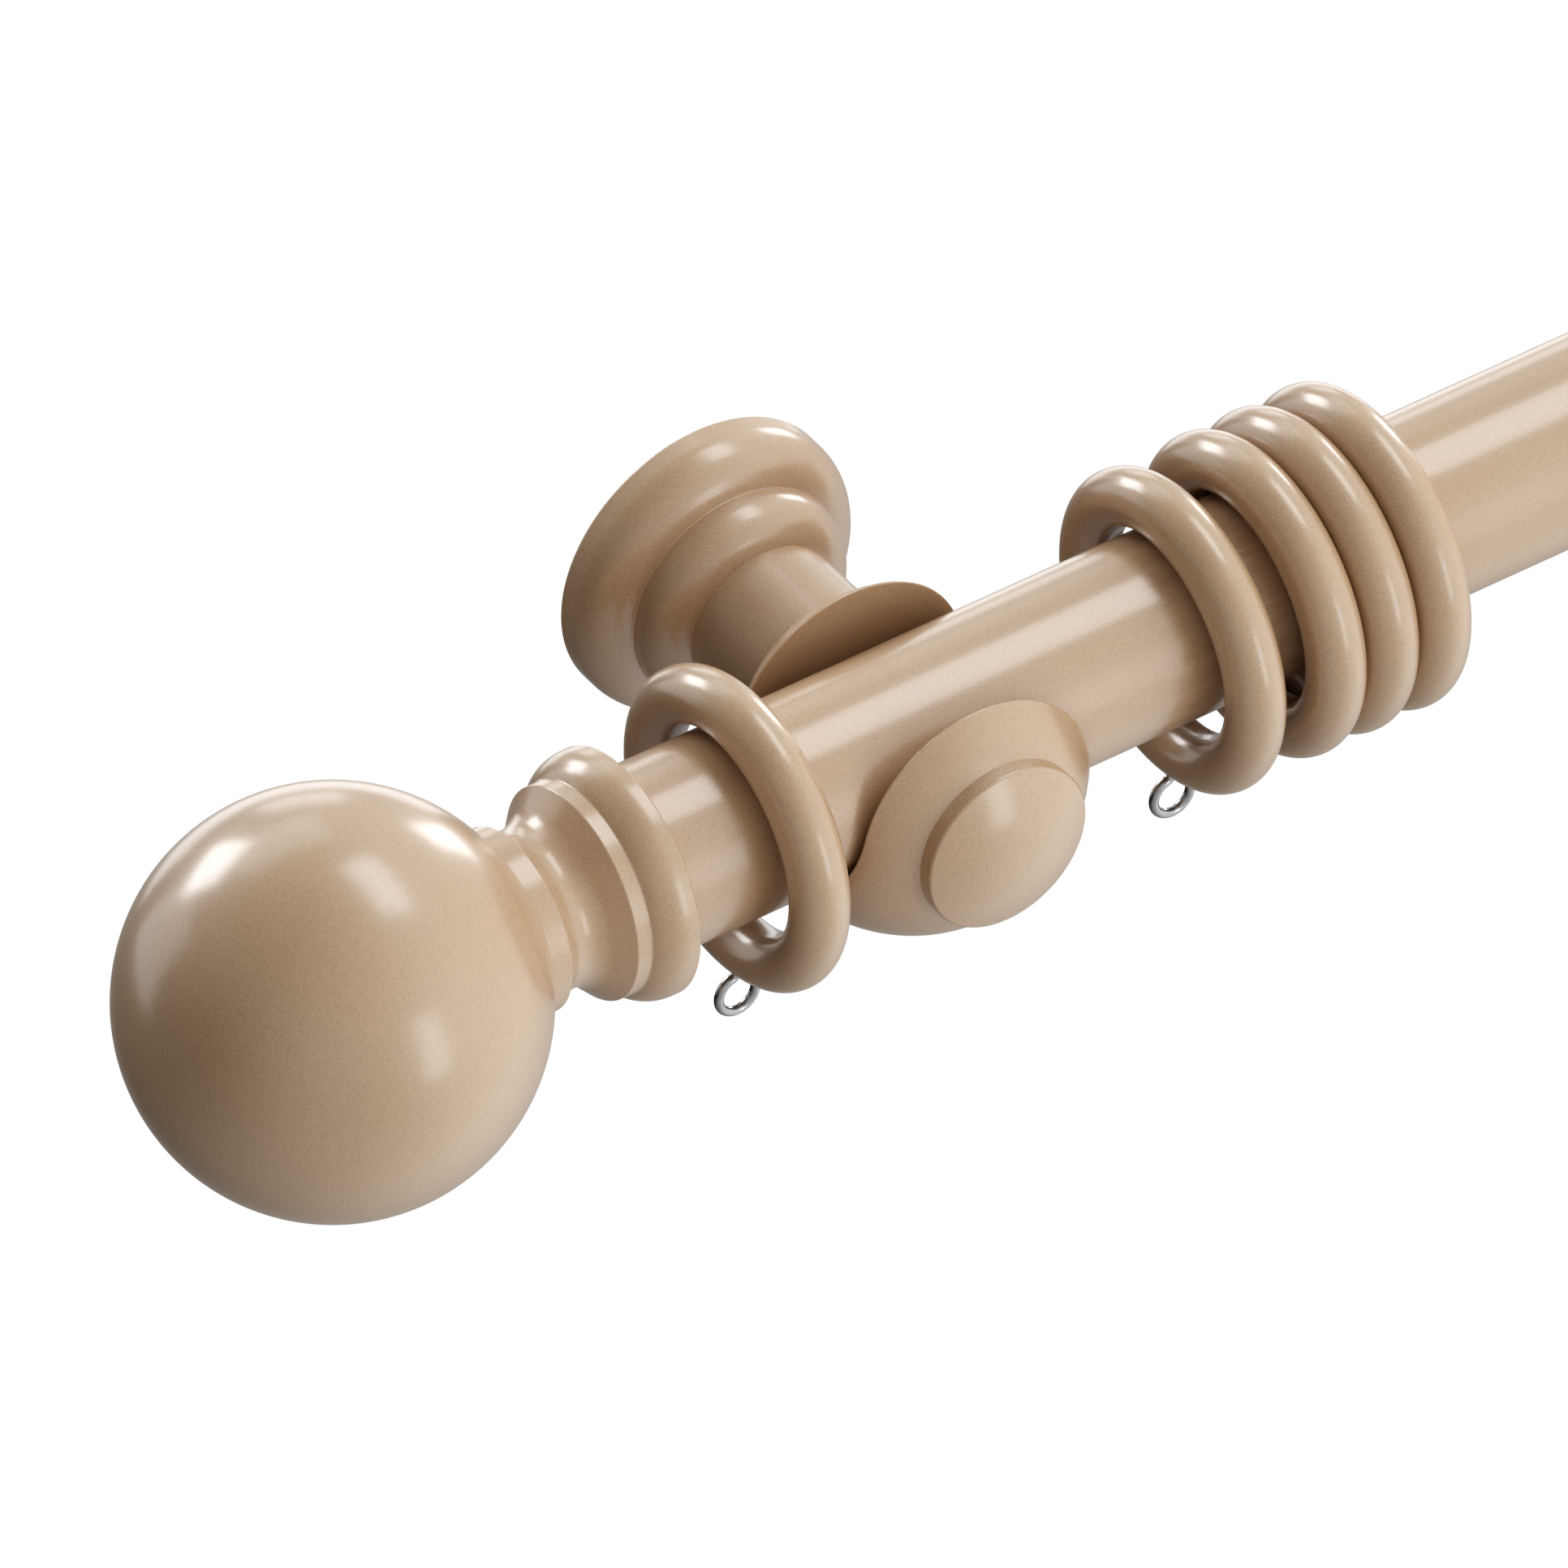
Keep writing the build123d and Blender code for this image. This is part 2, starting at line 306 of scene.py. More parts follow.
@dataclass
class Profile:
    """A turned outline: pairs of length along the axis and radius, in millimetres."""

    points: list[Point] = field(default_factory=list)
    corners: list[tuple[int, float]] = field(default_factory=list)
    edge_room: float = 0.05
    long_edge: float = 1.0
    corner_steps: int = 6

    def to(self, *places: Point) -> "Profile":
        """Go on in straight lines."""
        self.points.extend(places)
        return self

    def rounded(self, radius: float) -> "Profile":
        """Round the corner at the last point."""
        self.corners.append((len(self.points) - 1, radius))
        return self

    def arc(self, centre: Point, end: Point, steps: int, clockwise: bool = True) -> "Profile":
        """Go on along an arc about a centre.

        Args:
            centre: The arc's centre.
            end: Its last point.
            steps: Number of straight steps.
            clockwise: Whether it turns clockwise, with length to the right and radius up.

        Returns:
            This profile.
        """
        first = self.points[-1]
        size = hypot(first[0] - centre[0], first[1] - centre[1])
        start = atan2(first[1] - centre[1], first[0] - centre[0])
        sweep = (atan2(end[1] - centre[1], end[0] - centre[0]) - start) % (2 * pi)
        sweep = sweep - 2 * pi if clockwise else sweep
        for step in range(1, steps):
            angle = start + sweep * step / steps
            reach = (size * cos(angle), size * sin(angle))
            self.points.append((centre[0] + reach[0], centre[1] + reach[1]))
        self.points.append(end)
        return self

    def outline(self) -> list[Point]:
        """The points with rounded corners, and with support points near long edges' ends."""
        rounds = dict(self.corners)
        soft: list[Point] = []
        for index, point in enumerate(self.points):
            if index in rounds:
                soft.extend(self._round(index, rounds[index]))
            else:
                soft.append(point)
        held = [soft[0]]
        for before, after in zip(soft, soft[1:]):
            gap = hypot(after[0] - before[0], after[1] - before[1])
            if gap > self.long_edge:
                share = self.edge_room / gap
                for part in (share, 1 - share):
                    held.append(tuple(a + (b - a) * part for a, b in zip(before, after)))
            held.append(after)
        return held

    def _round(self, index: int, radius: float) -> list[Point]:
        """Points of the arc that rounds one corner.

        Args:
            index: The corner's place among the points.
            radius: The rounding's radius.

        Returns:
            The arc's points, from the edge before the corner to the edge after it.
        """
        corner = Vector(self.points[index])
        back = (Vector(self.points[index - 1]) - corner).normalized()
        on = (Vector(self.points[index + 1]) - corner).normalized()
        half = back.angle(on) / 2
        reach, middle = radius / tan(half), (back + on).normalized()
        centre = corner + middle * (radius / sin(half))
        first, last = corner + back * reach - centre, corner + on * reach - centre
        turn = first.angle(last)
        arc: list[Point] = []
        for step in range(self.corner_steps + 1):
            share = step / self.corner_steps
            mixed = first * sin((1 - share) * turn) + last * sin(share * turn)
            arc.append(tuple(centre + mixed / sin(turn)))
        return arc


def shares(steps: int) -> list[float]:
    """The shares of a run that equal steps come to, up to the whole."""
    return [step / steps for step in range(1, steps + 1)]


def tangent_centre(flat: Point, other: Point) -> Point:
    """Centre of the arc that leaves one point along the axis and ends at another.

    Args:
        flat: The point where the arc runs along the axis.
        other: The arc's other end.

    Returns:
        The centre.
    """
    run, rise = other[0] - flat[0], other[1] - flat[1]
    return flat[0], flat[1] + (run**2 + rise**2) / (2 * rise)


class Lathe:
    """Turns profiles about an axis with one Geometry Nodes tree."""

    def __init__(self) -> None:
        """Build the tree: a grid with the profile's points as rows, bent round the axis."""
        tree = GeoTree("turned_piece", {"Segments": "NodeSocketInt", **AXIS_INPUTS})
        profile, segments = tree.input("Geometry"), tree.input("Segments")
        columns, kind = segments + 1, {"component": "MESH"}
        rows = tree.node("GeometryNodeAttributeDomainSize", {0: profile}, kind, "Point Count")
        grid = tree.node("GeometryNodeMeshGrid", {"Vertices X": rows, "Vertices Y": columns})
        index = tree.node("GeometryNodeInputIndex")
        row = (index / columns).math("FLOOR")
        angle = index.math("MODULO", columns) / segments * (2 * pi)
        place = tree.node("GeometryNodeInputPosition")
        sampled = tree.node(
            "GeometryNodeSampleIndex",
            {"Geometry": profile, "Value": place, "Index": row},
            {"data_type": "FLOAT_VECTOR", "domain": "POINT"},
        )
        along, radius, _ = tree.position_parts(sampled)
        spot = tree.around(along, radius, angle)
        placed = {"Geometry": grid, "Position": spot}
        tree.close(tree.node("GeometryNodeSetPosition", placed))
        self.tree = tree

    def turn(
        self,
        name: str,
        profile: Profile,
        origin: Vector,
        axis: Vector,
        finish: bpy.types.Material,
        segments: int,
    ) -> bpy.types.Object:
        """Turn one piece.

        Args:
            name: The piece's name.
            profile: Its outline, in millimetres.
            origin: Where the outline's zero lies on the axis, in metres.
            axis: Direction in which the outline's length runs.
            finish: The piece's material.
            segments: Number of faces round the axis.

        Returns:
            The piece, in place.
        """
        seed = polyline(name, [(x * MM, r * MM, 0.0) for x, r in profile.outline()])
        placed = {"Origin": origin, "Axis": axis, "Side": ACROSS if axis.z else UP}
        return self.tree.run(name, seed, {"Segments": segments, "Finish": finish, **placed})


class WireBender:
    """Bends wire along a path with one Geometry Nodes tree."""

    SIDES = 28

    def __init__(self) -> None:
        """Build the tree: a round section swept along the path and thinned by its girth."""
        inputs = {"Wire Radius": "NodeSocketFloat", "Sides": "NodeSocketInt"}
        tree = GeoTree("bent_wire", inputs)
        path = tree.node("GeometryNodeMeshToCurve", {"Mesh": tree.input("Geometry")})
        round_wire = {"Resolution": tree.input("Sides"), "Radius": tree.input("Wire Radius")}
        section = tree.node("GeometryNodeCurvePrimitiveCircle", round_wire)
        named, kind = {"Name": "girth"}, {"data_type": "FLOAT"}
        girth = tree.node("GeometryNodeInputNamedAttribute", named, kind)
        swept = {"Curve": path, "Profile Curve": section, "Scale": girth, "Fill Caps": True}
        tree.close(tree.node("GeometryNodeCurveToMesh", swept))
        self.tree = tree

    def bend(
        self,
        name: str,
        path: list[Vector],
        girth: list[float],
        radius: float,
        finish: bpy.types.Material,
    ) -> bpy.types.Object:
        """Bend one wire.

        Args:
            name: The piece's name.
            path: Points of its middle line, in metres.
            girth: Share of the full radius at each point.
            radius: The wire's radius, in metres.
            finish: The piece's material.

        Returns:
            The piece, in place.
        """
        seed = polyline(name, [tuple(point) for point in path])
        seed.attributes.new("girth", "FLOAT", "POINT").data.foreach_set("value", girth)
        values = {"Wire Radius": radius, "Sides": self.SIDES, "Finish": finish}
        return self.tree.run(name, seed, values)


class ThreadCutter:
    """Lays a screw's thread on a turned core with one Geometry Nodes tree."""

    LOW_END = 0.1
    CORNERS = 4

    def __init__(self) -> None:
        """Build the tree: a helix that follows the core, swept with a pointed section."""
        sizes = ("Turns", "Length", "Run Out", "Root Radius", "Ridge")
        inputs = {"Steps": "NodeSocketInt", **dict.fromkeys(sizes, "NodeSocketFloat")}
        tree = GeoTree("screw_thread", {**inputs, **AXIS_INPUTS})
        line = tree.node("GeometryNodeMeshLine", {"Count": tree.input("Steps")})
        share = tree.node("GeometryNodeInputIndex") / (tree.input("Steps") - 1)
        along = share * tree.input("Length")
        fade = (tree.input("Length") - along).math("MINIMUM", along) / tree.input("Run Out")
        height = self.LOW_END + fade.math("MINIMUM", 1.0) * (1 - self.LOW_END)
        angle = share * tree.input("Turns") * (2 * pi)
        spot = tree.around(along, tree.input("Root Radius"), angle)
        helix = tree.node("GeometryNodeSetPosition", {"Geometry": line, "Position": spot})
        path = tree.node("GeometryNodeMeshToCurve", {"Mesh": helix})
        upright = {"Curve": path, "Normal": tree.input("Axis")}
        path = tree.node("GeometryNodeSetCurveNormal", upright, {"mode": "FREE"})
        pointed = {"Resolution": self.CORNERS, "Radius": tree.input("Ridge")}
        section = tree.node("GeometryNodeCurvePrimitiveCircle", pointed)
        swept = {"Curve": path, "Profile Curve": section, "Scale": height, "Fill Caps": True}
        ridge = tree.node("GeometryNodeCurveToMesh", swept)
        joined = tree.tree.nodes.new("GeometryNodeJoinGeometry")
        for part in (ridge, tree.input("Geometry")):
            tree.tree.links.new(part.socket, joined.inputs[0])
        tree.close(Sock(tree, joined.outputs[0]))
        self.tree = tree


class HeadSlotter:
    """Cuts a cross recess into a screw's head with one Geometry Nodes tree."""

    SIZES = ("Length", "Width", "Depth")
    CREASE = radians(35)

    def __init__(self) -> None:
        """Build the tree: two crossed bars taken out of the turned screw."""
        sizes = dict.fromkeys(self.SIZES, "NodeSocketFloat")
        tree = GeoTree("cross_recess", {"Centre": "NodeSocketVector", **sizes})
        long, wide, deep = (tree.input(name) for name in self.SIZES)
        shape = tree.input("Geometry")
        for along, across in ((long, wide), (wide, long)):
            size = tree.node("ShaderNodeCombineXYZ", {0: along, 1: across, 2: deep * 2.0})
            bar = tree.node("GeometryNodeMeshCube", {"Size": size})
            move = {"Geometry": bar, "Translation": tree.input("Centre")}
            bar = tree.node("GeometryNodeTransform", move)
            cut = {"operation": "DIFFERENCE", "solver": "EXACT"}
            shape = tree.node("GeometryNodeMeshBoolean", {"Mesh 1": shape, "Mesh 2": bar}, cut)
        tree.close(shape, crease=self.CREASE)
        self.tree = tree


@dataclass(frozen=True)
class Finish:
    """A surface finish, which paints one procedural material."""

    name: str

    def paint(self, graph: Graph, place: Sock) -> dict[str, Value]:
        """Values for the shader's inputs, by name.

        Args:
            graph: The material's node tree.
            place: The place on the object.

        Returns:
            Constants and node outputs for the shader.
        """
        raise NotImplementedError

    def material(self) -> bpy.types.Material:
        """Make the finish's material."""
        made = bpy.data.materials.new(self.name)
        made.use_nodes = True
        graph = Graph(made.node_tree)
        place = graph.node("ShaderNodeTexCoord", out="Object")
        graph.fill(made.node_tree.nodes["Principled BSDF"], self.paint(graph, place))
        return made


@dataclass(frozen=True)
class Lacquer(Finish):
    """Sprayed satin lacquer on wood: even colour, fine speckle and a faint orange peel."""

    name: str = "satin_lacquer"
    light: Colour = (0.570, 0.396, 0.255, 1.0)
    deep: Colour = (0.330, 0.211, 0.118, 1.0)
    speckle_scale: float = 4900.0
    speckle_detail: float = 2.0
    speckle_shade: float = 1.4
    speckle_gloss: float = 0.10
    tone_scale: float = 46.0
    tone_detail: float = 3.0
    tone_shade: float = 0.2
    tone_gloss: float = 0.05
    peel_scale: float = 1500.0
    peel_detail: float = 1.0
    peel_share: float = 0.6
    bump: float = 0.10
    bump_depth: float = 0.00008
    roughness: float = 0.50
    shine: float = 0.8
    coat: float = 1.0
    coat_roughness: float = 0.21
    coat_ior: float = 1.7

    def paint(self, graph: Graph, place: Sock) -> dict[str, Value]:
        """Speckle the colour and the gloss, and let the peel stand out a little.

        Args:
            graph: The material's node tree.
            place: The place on the object.

        Returns:
            Constants and node outputs for the shader.
        """
        speckle = graph.noise(place, self.speckle_scale, self.speckle_detail)
        peel = graph.noise(place, self.peel_scale, self.peel_detail)
        tone = graph.noise(place, self.tone_scale, self.tone_detail)
        speck, drift = speckle - MIDDLE, tone - MIDDLE
        shade = MIDDLE + speck * self.speckle_shade + drift * self.tone_shade
        shade = shade.math("MAXIMUM", 0.0).math("MINIMUM", 1.0)
        height = peel * self.peel_share + speckle * (1 - self.peel_share)
        raised = {"Strength": self.bump, "Distance": self.bump_depth, "Height": height}
        return {
            "Base Color": graph.blend(shade, self.deep, self.light),
            "Roughness": self.roughness + speck * self.speckle_gloss + drift * self.tone_gloss,
            "Normal": graph.node("ShaderNodeBump", raised),
            "Specular IOR Level": self.shine,
            "Coat Weight": self.coat,
            "Coat Roughness": self.coat_roughness,
            "Coat IOR": self.coat_ior,
        }


@dataclass(frozen=True)
class Plating(Finish):
    """Plated steel: its colour, its gloss and the fine marks that vary both."""

    colour: Colour
    dull: Colour
    roughness: float
    spread: float
    scale: float
    detail: float = 4.0

    def paint(self, graph: Graph, place: Sock) -> dict[str, Value]:
        """Vary the colour and the gloss with fine marks.

        Args:
            graph: The material's node tree.
            place: The place on the object.

        Returns:
            Constants and node outputs for the shader.
        """
        marks = graph.noise(place, self.scale, self.detail)
        return {
            "Base Color": graph.blend(marks, self.dull, self.colour),
            "Roughness": self.roughness + (marks - MIDDLE) * self.spread,
            "Metallic": 1.0,
        }


@dataclass(frozen=True)
class Paper(Finish):
    """Plain pale paper that glows evenly and takes no light."""

    def paint(self, graph: Graph, place: Sock) -> dict[str, Value]:
        """An even white, with no use for the place."""
        dark = {"Base Color": BLACK, "Specular IOR Level": 0.0}
        return {**dark, "Emission Color": WHITE, "Emission Strength": 1.0}


BRIGHT_WIRE = Plating(
    "bright_plating", (0.44, 0.44, 0.45, 1.0), (0.30, 0.30, 0.31, 1.0),
    roughness=0.17, spread=0.08, scale=1400.0,
)
ZINC = Plating(
    "zinc_plating", (0.70, 0.71, 0.72, 1.0), (0.48, 0.49, 0.50, 1.0),
    roughness=0.34, spread=0.22, scale=420.0,
)


@dataclass
class Workshop:
    """The tools and finishes that every piece is made with."""

    lathe: Lathe
    bender: WireBender
    cutter: ThreadCutter
    slotter: HeadSlotter
    wood: bpy.types.Material
    wire: bpy.types.Material
    zinc: bpy.types.Material

    @classmethod
    def open(cls) -> "Workshop":
        """Make the trees and the materials once."""
        tools = Lathe(), WireBender(), ThreadCutter(), HeadSlotter()
        return cls(*tools, *(finish.material() for finish in (Lacquer(), BRIGHT_WIRE, ZINC)))


def hand_over(piece: bpy.types.Object, body: str, slot: Slot, *nodes: str) -> None:
    """Let a finished piece stand for its nodes and ride on its body.

    Args:
        piece: The finished piece.
        body: The body it moves with.
        slot: The material slot of the nodes it stands for; not used.
        nodes: The nodes that it stands for.
    """
    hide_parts(*nodes)
    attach(piece, body)
    log.info("%s: %d faces on %s", piece.name, len(piece.data.polygons), body)


@dataclass
class Pole:
    """The round pole, drilled in its ends for the finials' screws."""

    diameter: float = 28.0
    length: float = 1000.0
    chamfer: float = 0.5
    edge_round: float = 0.25
    bore: float = 3.05
    bore_depth: float = 24.5
    wall_gap: float = 53.35
    rise: float = 3.5
    segments: int = 256

    def axis_at(self, x: float) -> Vector:
        """A point of the pole's axis, in metres."""
        return Vector((x, -self.wall_gap, self.rise)) * MM

    def build(self, shop: Workshop) -> None:
        """Turn the pole.

        Args:
            shop: The tools and finishes.
        """
        half, radius, cut = self.length / 2, self.diameter / 2, self.chamfer
        floor = half - self.bore_depth
        profile = Profile().to((-floor, 0), (-floor, self.bore), (-half, self.bore))
        face, top = half - cut, radius - cut
        for corner in ((-half, top), (-face, radius), (face, radius), (half, top)):
            profile.to(corner).rounded(self.edge_round)
        profile.to((half, self.bore), (floor, self.bore), (floor, 0))
        origin = self.axis_at(0)
        piece = shop.lathe.turn("turned_pole", profile, origin, ACROSS, shop.wood, self.segments)
        hand_over(piece, "rod", Slot.WOOD, "pole")


@dataclass
class Finial:
    """A ball finial: base, ovolo, band, scotia, collar and ball, turned in one piece."""

    end: End
    ball: float = 62.3
    collar_width: float = 3.3
    collar_rise: float = 1.85
    neck: float = 24.4
    scotia_radius: float = 4.75
    scotia_offset: float = 5.9
    scotia_rise: float = 4.1
    band_width: float = 2.35
    ovolo_length: float = 6.6
    ovolo_flat: float = 1.5
    ovolo_rise: float = 2.55
    edge_round: float = 0.35
    bore: float = 3.05
    bore_depth: float = 24.5
    ovolo_steps: int = 20
    scotia_steps: int = 40
    ball_steps: int = 84
    segments: int = 224

    def profile(self) -> Profile:
        """The outline from the bore's bottom, over base and mouldings, to the ball's tip."""
        neck, scotia = self.neck / 2, self.scotia_radius
        collar, band = neck + self.collar_rise, neck + self.scotia_rise
        base, ball = band + self.ovolo_rise, self.ball / 2
        band_end = self.ovolo_length + self.band_width
        hollow = (band_end + self.scotia_offset, neck + scotia)
        lean = atan2(hollow[1] - band, self.scotia_offset)
        flank = asin(scotia / hypot(hollow[1] - band, self.scotia_offset)) - lean
        touch = (hollow[0] - scotia * sin(flank), hollow[1] - scotia * cos(flank))
        collar_start = hollow[0] + sqrt(scotia**2 - (hollow[1] - collar) ** 2)
        ball_start = collar_start + self.collar_width
        ball_centre = ball_start + sqrt(ball**2 - collar**2)
        ovolo, band_edge = (self.ovolo_length, band), (band_end, band)
        made = Profile().to((self.bore_depth, 0), (self.bore_depth, self.bore), (0, self.bore))
        made.to((0, base)).rounded(self.edge_round).to((self.ovolo_flat, base))
        made.arc(tangent_centre((self.ovolo_flat, base), ovolo), ovolo, self.ovolo_steps)
        made.to(band_edge).rounded(self.edge_round).to(touch)
        made.arc(hollow, (collar_start, collar), self.scotia_steps, clockwise=False)
        made.rounded(self.edge_round).to((ball_start, collar))
        return made.arc((ball_centre, 0), (ball_centre + ball, 0), self.ball_steps)

    def build(self, shop: Workshop, pole: Pole) -> None:
        """Turn the finial on its end of the pole.

        Args:
            shop: The tools and finishes.
            pole: The pole that carries it.
        """
        origin = pole.axis_at(self.end.value * pole.length / 2)
        axis = ACROSS * self.end.value
        name = f"turned_finial_{self.end.word}"
        piece = shop.lathe.turn(name, self.profile(), origin, axis, shop.wood, self.segments)
        hand_over(piece, "rod", Slot.WOOD, f"finial_{self.end.word}")


@dataclass
class BracketPiece:
    """A piece of one bracket, at the bracket's place along the rod."""

    end: End
    offset: float = 451.0

    def place(self, y: float = 0.0, z: float = 0.0) -> Vector:
        """A point in the bracket's plane across the rod, in metres."""
        return Vector((self.end.value * self.offset, y, z)) * MM


@dataclass
class WallRose(BracketPiece):
    """A wall rose: rim, ovolo and a smaller moulding, with a socket for the arm's spigot."""

    rim: float = 2.85
    ovolo_length: float = 6.75
    ovolo_rise: float = 6.0
    moulding_flat: float = 1.1
    moulding_length: float = 5.95
    moulding_rise: float = 5.1
    stem: float = 24.2
    edge_round: float = 0.4
    socket: float = 8.1
    socket_depth: float = 10.5
    bolt_hole: float = 3.3
    ovolo_steps: int = 34
    moulding_steps: int = 30
    segments: int = 192

    def profile(self) -> Profile:
        """The outline from the bolt hole, round back and mouldings, into the socket."""
        stem = self.stem / 2
        moulding = stem + self.moulding_rise
        rose = moulding + self.ovolo_rise
        front = self.rim + self.ovolo_length
        flat = (front + self.moulding_flat, moulding)
        thickness = flat[0] + self.moulding_length
        floor = thickness - self.socket_depth
        rim, ovolo, face = (self.rim, rose), (front, moulding), (thickness, stem)
        made = Profile().to((0, self.bolt_hole), (0, rose)).rounded(self.edge_round).to(rim)
        made.arc(tangent_centre(rim, ovolo), ovolo, self.ovolo_steps).to(flat)
        made.arc(tangent_centre(flat, face), face, self.moulding_steps)
        made.to((thickness, self.socket), (floor, self.socket), (floor, self.bolt_hole))
        return made.to((0, self.bolt_hole))

    def build(self, shop: Workshop) -> None:
        """Turn the rose on the wall plane.

        Args:
            shop: The tools and finishes.
        """
        name = f"turned_rose_{self.end.word}"
        outline, out = self.profile(), -INTO_WALL
        piece = shop.lathe.turn(name, outline, self.place(), out, shop.wood, self.segments)
        hand_over(piece, "rod", Slot.WOOD, f"wall_rose_{self.end.word}")


@dataclass
class HangerBolt(BracketPiece):
    """A hanger bolt: a threaded end for the wall's anchor and a thinner end in the stem."""

    in_wall: float = 14.0
    chamfer: float = 1.0
    crest: float = 4.0
    root: float = 3.4
    plain: float = 1.6
    pitch: float = 1.25
    in_bracket: float = 30.0
    bolt: float = 3.0
    inner_chamfer: float = 0.5
    core_chamfer: float = 0.4
    shoulder_round: float = 0.2
    run_in: float = 0.6
    steps_per_turn: int = 64
    segments: int = 96

    def core(self) -> Profile:
        """The outline of the bolt without its thread, from the stem's end to the wall's end."""
        inner, tip, bevel = -self.in_bracket, self.in_wall, self.core_chamfer
        made = Profile().to((inner, 0), (inner, self.bolt - self.inner_chamfer))
        made.to((inner + self.inner_chamfer, self.bolt), (0, self.bolt), (0, self.crest))
        made.rounded(self.shoulder_round).to((self.plain, self.crest))
        made.to((self.plain + self.run_in, self.root), (tip - bevel, self.root))
        return made.to((tip, self.root - bevel), (tip, 0))

    def build(self, shop: Workshop) -> None:
        """Turn the core and lay the thread on it.

        Args:
            shop: The tools and finishes.
        """
        origin = self.place()
        name = f"threaded_hanger_bolt_{self.end.word}"
        core = shop.lathe.turn(name, self.core(), origin, INTO_WALL, shop.zinc, self.segments)
        length = self.in_wall - self.plain - self.chamfer / 2
        turns = length / self.pitch
        values = {
            "Steps": int(turns * self.steps_per_turn),
            "Turns": turns,
            "Length": length * MM,
            "Run Out": self.chamfer * MM,
            "Root Radius": self.root * MM,
            "Ridge": (self.crest - self.root) * MM,
            "Origin": origin + INTO_WALL * self.plain * MM,
            "Axis": INTO_WALL,
            "Side": UP,
            "Finish": shop.zinc,
        }
        piece = shop.cutter.tree.run(name, as_blank(core), values)
        hand_over(piece, "rod", Slot.ZINC, f"hanger_bolt_{self.end.word}")


@dataclass
class CurtainRing:
    """A turned ring on the pole with a bright screw eye under it."""

    end: End
    number: int
    x: float
    core: float = 20.3
    tube: float = 4.35
    height: float = 1.75
    wire: float = 0.725
    hole: float = 4.8
    drop: float = 5.9
    bend: float = 1.2
    bite: float = 6.0
    opening: float = 62.0
    tip_rise: float = 0.6
    tip_share: float = 0.98
    half_steps: int = 32
    segments: int = 176
    shank_steps: int = 6
    bend_steps: int = 12
    loop_steps: int = 96
    tip_steps: int = 6

    @property
    def body(self) -> str:
        """The body that the ring moves with."""
        return f"{self.end.word}_ring_{self.number}"

    def build(self, shop: Workshop, pole: Pole) -> None:
        """Turn the ring and bend its eye.

        Args:
            shop: The tools and finishes.
            pole: The pole that the ring hangs on.
        """
        tag = f"{self.end.word}_{self.number}"
        centre = Vector((self.x, -pole.wall_gap, self.height)) * MM
        middle, outer = (0, self.core), (0, self.core + self.tube)
        section = Profile().to(outer)
        section.arc(middle, (0, self.core - self.tube), self.half_steps)
        section.arc(middle, outer, self.half_steps)
        name = f"turned_ring_{tag}"
        ring = shop.lathe.turn(name, section, centre, ACROSS, shop.wood, self.segments)
        hand_over(ring, self.body, Slot.WOOD, f"ring_{tag}")
        path, girth = self._eye_path(pole)
        eye = shop.bender.bend(f"bent_eye_{tag}", path, girth, self.wire * MM, shop.wire)
        hand_over(eye, self.body, Slot.WIRE, f"screw_eye_{tag}")

    def _eye_path(self, pole: Pole) -> tuple[list[Vector], list[float]]:
        """The eye's middle line, from the shank's top round the loop, and its girth.

        Args:
            pole: The pole that the ring hangs on.

        Returns:
            The points, in metres, and the share of the wire's radius at each.
        """
        loop = self.hole / 2 + self.wire
        rise = sqrt((loop + self.bend) ** 2 - self.bend**2)
        turn = asin(rise / (loop + self.bend))
        top = self.drop + self.bite
        flat = [(0.0, top - (top - rise) * share) for share in (0.0, *shares(self.shank_steps))]
        for share in shares(self.bend_steps):
            angle = -turn * share
            flat.append((-self.bend + self.bend * cos(angle), rise + self.bend * sin(angle)))
        start, stop = pi - turn, 2 * pi + radians(self.opening)
        for share in shares(self.loop_steps):
            angle = start + (stop - start) * share
            flat.append((loop * cos(angle), loop * sin(angle)))
        girth = [1.0] * len(flat)
        end, ahead = Vector(flat[-1]), Vector((-sin(stop), cos(stop)))
        for share in shares(self.tip_steps):
            angle = share * self.tip_share * pi / 2
            flat.append(tuple(end + ahead * (self.wire * self.tip_rise * sin(angle))))
            girth.append(cos(angle))
        base = self.height - self.core - self.tube - self.drop
        path = [Vector((self.x + u, -pole.wall_gap, base + w)) * MM for u, w in flat]
        return path, girth


